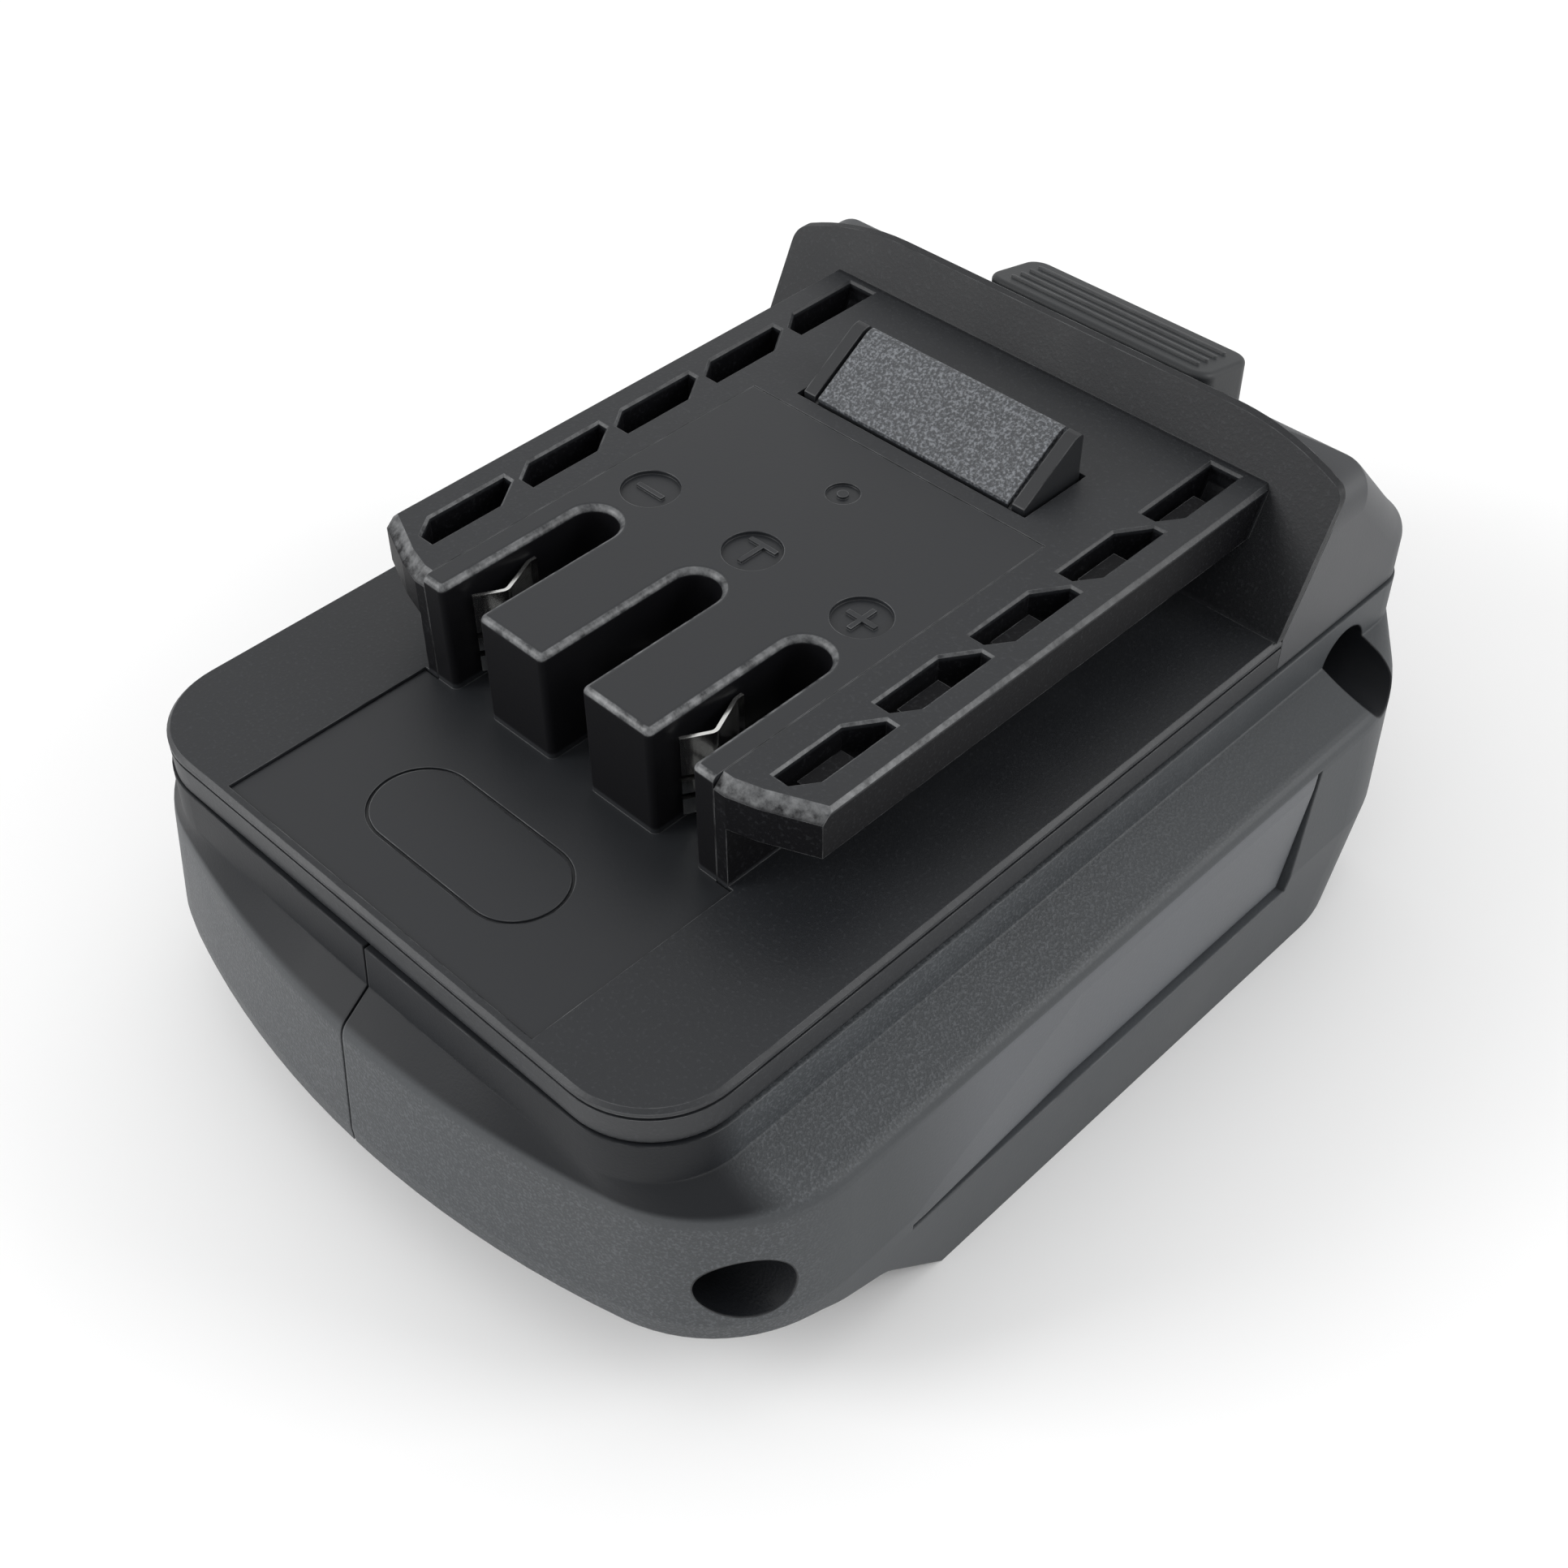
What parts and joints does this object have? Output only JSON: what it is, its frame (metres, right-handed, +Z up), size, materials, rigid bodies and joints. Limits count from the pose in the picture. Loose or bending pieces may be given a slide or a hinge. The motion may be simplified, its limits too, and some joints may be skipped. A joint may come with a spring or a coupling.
{
  "type": "tool battery adapter",
  "caption": "Slide-on adapter that carries a battery pack in a socket below and meets a tool above with undercut rails, slotted spring contacts and a sprung latch.",
  "frame": {"origin": "centre of the bounding box on the surface that the two skirts stand on", "axes": "+Y from the front lip to the release button, +Z up from the skirts to the tool rails, +X to the right as seen from the front"},
  "size_m": [0.092, 0.119, 0.0578],
  "materials": {
    "tray_plastic": "fine spark-eroded texture, near black",
    "insert_plastic": "satin, greenish near black",
    "cover_plastic": "satin dark grey",
    "case_plastic": "satin to coarse texture, dark grey",
    "socket_plastic": "plain moulded, near black",
    "latch_plastic": "coarse sparkling texture, dark grey",
    "button_plastic": "satin dark grey",
    "spring_steel": "bright drawn wire",
    "contact_metal": "bright tinned strip",
    "insulator_plastic": "black moulded",
    "board_laminate": "green solder mask",
    "chip_epoxy": "black moulded",
    "capacitor_sleeve": "dark blue sleeve",
    "fuse_ceramic": "off-white body",
    "blade_metal": "plain stamped brass",
    "lead_black": "soft insulation, black",
    "lead_white": "soft insulation, white",
    "lead_red": "soft insulation, red",
    "screw_steel": "dark zinc"
  },
  "bodies": {
    "housing": {"tray_cover": "tray_plastic", "terminal_insert": "insert_plastic", "rear_cover": "cover_plastic", "left_case": "case_plastic", "right_case": "case_plastic", "pack_socket": "socket_plastic", "latch_spring_left": "spring_steel", "latch_spring_right": "spring_steel", "negative_contact": "contact_metal", "positive_contact": "contact_metal", "signal_contact": "contact_metal", "contact_carrier": "insulator_plastic", "blade_block": "insulator_plastic", "circuit_board": "board_laminate", "control_chip": "chip_epoxy", "capacitor": "capacitor_sleeve", "fuse": "fuse_ceramic", "negative_blade": "blade_metal", "signal_blade": "blade_metal", "positive_blade": "blade_metal", "negative_lead": "lead_black", "signal_lead": "lead_white", "positive_lead": "lead_red", "case_screws": "screw_steel", "socket_screws": "screw_steel", "board_screws": "screw_steel"},
    "latch": {"latch_hook": "latch_plastic", "release_button": "button_plastic"}
  },
  "joints": [
    {"name": "latch_press", "type": "slide", "parent": "housing", "child": "latch", "axis": [0, 0, -1], "range_m": [0, 0.0052], "stiffness_N_per_m": 600, "springref_m": -0.006, "deforming": ["latch_spring_left", "latch_spring_right"]}
  ]
}
